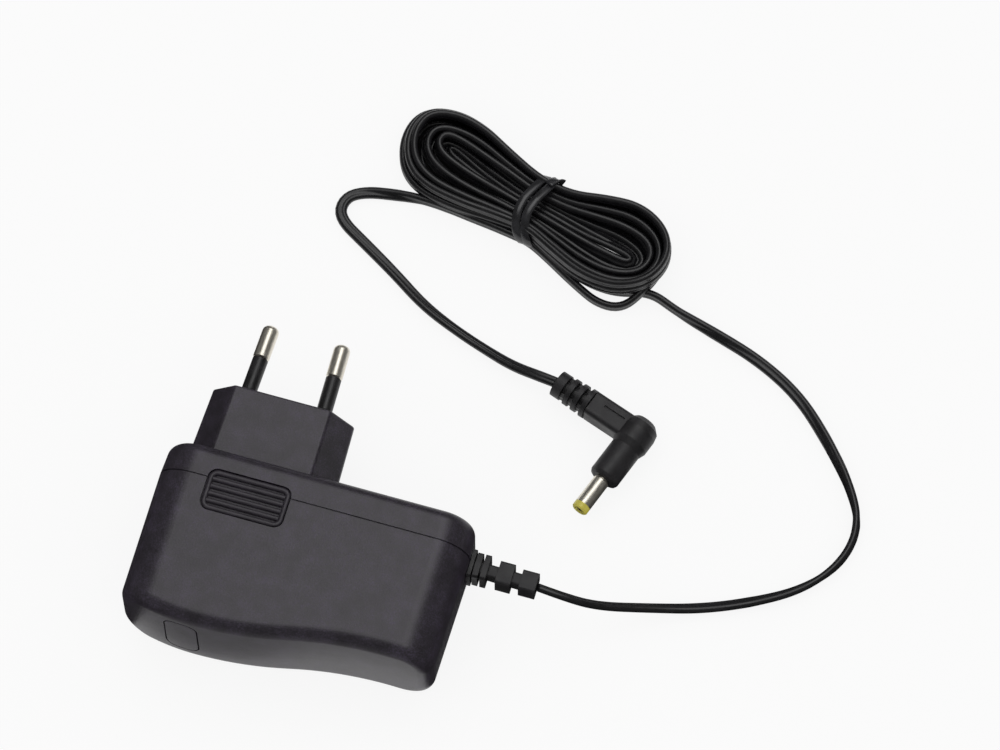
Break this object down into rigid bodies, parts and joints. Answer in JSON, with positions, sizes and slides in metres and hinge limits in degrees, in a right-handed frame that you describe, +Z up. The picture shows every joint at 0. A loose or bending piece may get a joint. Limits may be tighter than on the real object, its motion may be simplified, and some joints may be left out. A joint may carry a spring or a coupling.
{
  "type": "plug-in power adapter",
  "caption": "Plug-in mains power adapter in a rounded two-piece case with a two-pin plug nose, and a coiled low-voltage cord ending in a right-angled barrel plug.",
  "frame": {"origin": "under the middle of the case and its pins, measured without the cord and its strain relief, on the face the case lies on", "axes": "+Z up from the table, +Y the way the mains pins point, +X towards the side where the cord leaves"},
  "size_m": [0.1586, 0.1514, 0.025],
  "materials": {
    "case_plastic": "fine spark texture",
    "grip_plastic": "satin",
    "pin_metal": "bright nickel plate",
    "sleeve_plastic": "satin",
    "board_laminate": "satin",
    "can_sleeve": "gloss",
    "ferrite": "matte",
    "resistor_coat": "gloss",
    "package_plastic": "matte",
    "disc_coat": "gloss",
    "bobbin_plastic": "satin",
    "winding_tape": "gloss",
    "wire_cover": "gloss",
    "cord_plastic": "satin",
    "tie_plastic": "gloss",
    "plug_plastic": "satin",
    "barrel_metal": "bright nickel plate",
    "tip_plastic": "satin"
  },
  "bodies": {
    "root": {"rear_housing": "case_plastic", "front_cover": "case_plastic", "upper_grip": "grip_plastic", "lower_grip": "grip_plastic", "mains_pin_left": "pin_metal", "mains_pin_right": "pin_metal", "pin_sleeve_left": "sleeve_plastic", "pin_sleeve_right": "sleeve_plastic", "circuit_board": "board_laminate", "bulk_capacitor_left": "can_sleeve", "bulk_capacitor_right": "can_sleeve", "output_capacitor": "can_sleeve", "filter_capacitor": "can_sleeve", "filter_choke": "ferrite", "fusible_resistor": "resistor_coat", "output_rectifier": "package_plastic", "bridge_rectifier": "package_plastic", "controller_chip": "package_plastic", "optocoupler": "package_plastic", "safety_capacitor": "disc_coat", "transformer_core_front": "ferrite", "transformer_core_rear": "ferrite", "transformer_bobbin": "bobbin_plastic", "transformer_winding": "winding_tape", "mains_wire_left": "wire_cover", "mains_wire_right": "wire_cover", "output_wire_positive": "wire_cover", "output_wire_negative": "wire_cover", "strain_relief": "cord_plastic", "cord_lead": "cord_plastic", "cord_hank": "cord_plastic", "cord_tail": "cord_plastic", "cable_tie": "tie_plastic", "plug_body": "plug_plastic", "plug_barrel": "barrel_metal", "plug_tip_ring": "tip_plastic", "plug_contact": "barrel_metal"}
  },
  "joints": []
}
